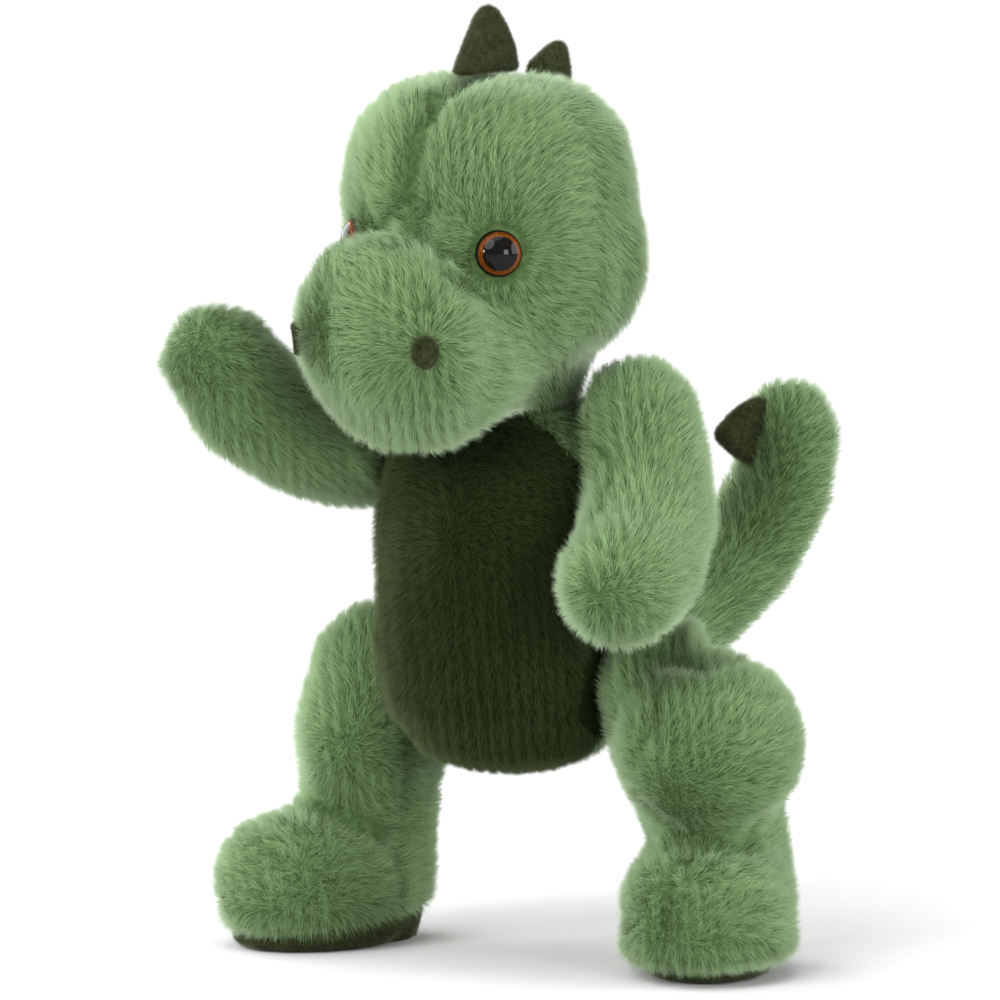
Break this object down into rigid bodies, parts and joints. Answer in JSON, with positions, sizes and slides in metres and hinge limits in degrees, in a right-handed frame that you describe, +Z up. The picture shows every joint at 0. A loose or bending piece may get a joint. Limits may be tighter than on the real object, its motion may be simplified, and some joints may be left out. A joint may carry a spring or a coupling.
{
  "type": "stuffed dinosaur",
  "caption": "Jointed plush dinosaur standing on two feet with one arm raised, long-pile cover, padded fins down its back and disc joints at neck, shoulders and hips.",
  "frame": {"origin": "on the floor, under the middle of the whole toy", "axes": "+Z up, the toy faces -Y and its left side is +X"},
  "size_m": [0.244, 0.2734, 0.3773],
  "materials": {
    "green_plush": "long-pile plush, soft sheen",
    "belly_plush": "dense dark plush",
    "olive_velour": "short-pile velour",
    "filling": "loose polyester fibre",
    "eye": "polished, with a flecked iris",
    "nylon": "moulded"
  },
  "bodies": {
    "torso": {"belly_panel": "belly_plush", "left_back_cover": "green_plush", "right_back_cover": "green_plush", "torso_filling": "filling", "tail_cover": "green_plush", "tail_filling": "filling", "upper_back_spike": "olive_velour", "lower_back_spike": "olive_velour", "lower_tail_spike": "olive_velour", "upper_tail_spike": "olive_velour", "neck_washer": "nylon", "left_shoulder_washer": "nylon", "right_shoulder_washer": "nylon", "left_hip_washer": "nylon", "right_hip_washer": "nylon"},
    "head": {"muzzle_panel": "green_plush", "chin_panel": "green_plush", "left_head_panel": "green_plush", "right_head_panel": "green_plush", "head_filling": "filling", "left_eye": "eye", "left_eye_washer": "nylon", "right_eye": "eye", "right_eye_washer": "nylon", "left_nostril": "olive_velour", "right_nostril": "olive_velour", "front_head_spike": "olive_velour", "rear_head_spike": "olive_velour", "nape_spike": "olive_velour", "neck_disc": "nylon", "neck_lock_ring": "nylon"},
    "left_arm": {"left_arm_cover": "green_plush", "left_arm_filling": "filling", "left_shoulder_disc": "nylon", "left_shoulder_lock_ring": "nylon"},
    "right_arm": {"right_arm_cover": "green_plush", "right_arm_filling": "filling", "right_shoulder_disc": "nylon", "right_shoulder_lock_ring": "nylon"},
    "left_leg": {"left_leg_cover": "green_plush", "left_leg_filling": "filling", "left_sole": "olive_velour", "left_hip_disc": "nylon", "left_hip_lock_ring": "nylon"},
    "right_leg": {"right_leg_cover": "green_plush", "right_leg_filling": "filling", "right_sole": "olive_velour", "right_hip_disc": "nylon", "right_hip_lock_ring": "nylon"}
  },
  "joints": [
    {"name": "neck", "type": "hinge", "parent": "torso", "child": "head", "pos_m": [-0.00301, -0.03565, 0.22197], "axis": [0, 0, 1], "range_deg": [-8, 20]},
    {"name": "left_shoulder", "type": "hinge", "parent": "torso", "child": "left_arm", "pos_m": [0.04145, -0.02865, 0.19499], "axis": [0.9945, 0.1045, 0], "range_deg": [-90, 10]},
    {"name": "right_shoulder", "type": "hinge", "parent": "torso", "child": "right_arm", "pos_m": [-0.04348, -0.02865, 0.19499], "axis": [-0.9945, 0.1045, 0], "range_deg": [-70, 19]},
    {"name": "left_hip", "type": "hinge", "parent": "torso", "child": "left_leg", "pos_m": [0.04402, -0.02166, 0.112], "axis": [1, 0, 0], "range_deg": [-70, 30]},
    {"name": "right_hip", "type": "hinge", "parent": "torso", "child": "right_leg", "pos_m": [-0.04604, -0.02166, 0.112], "axis": [-1, 0, 0], "range_deg": [-30, 90]}
  ]
}
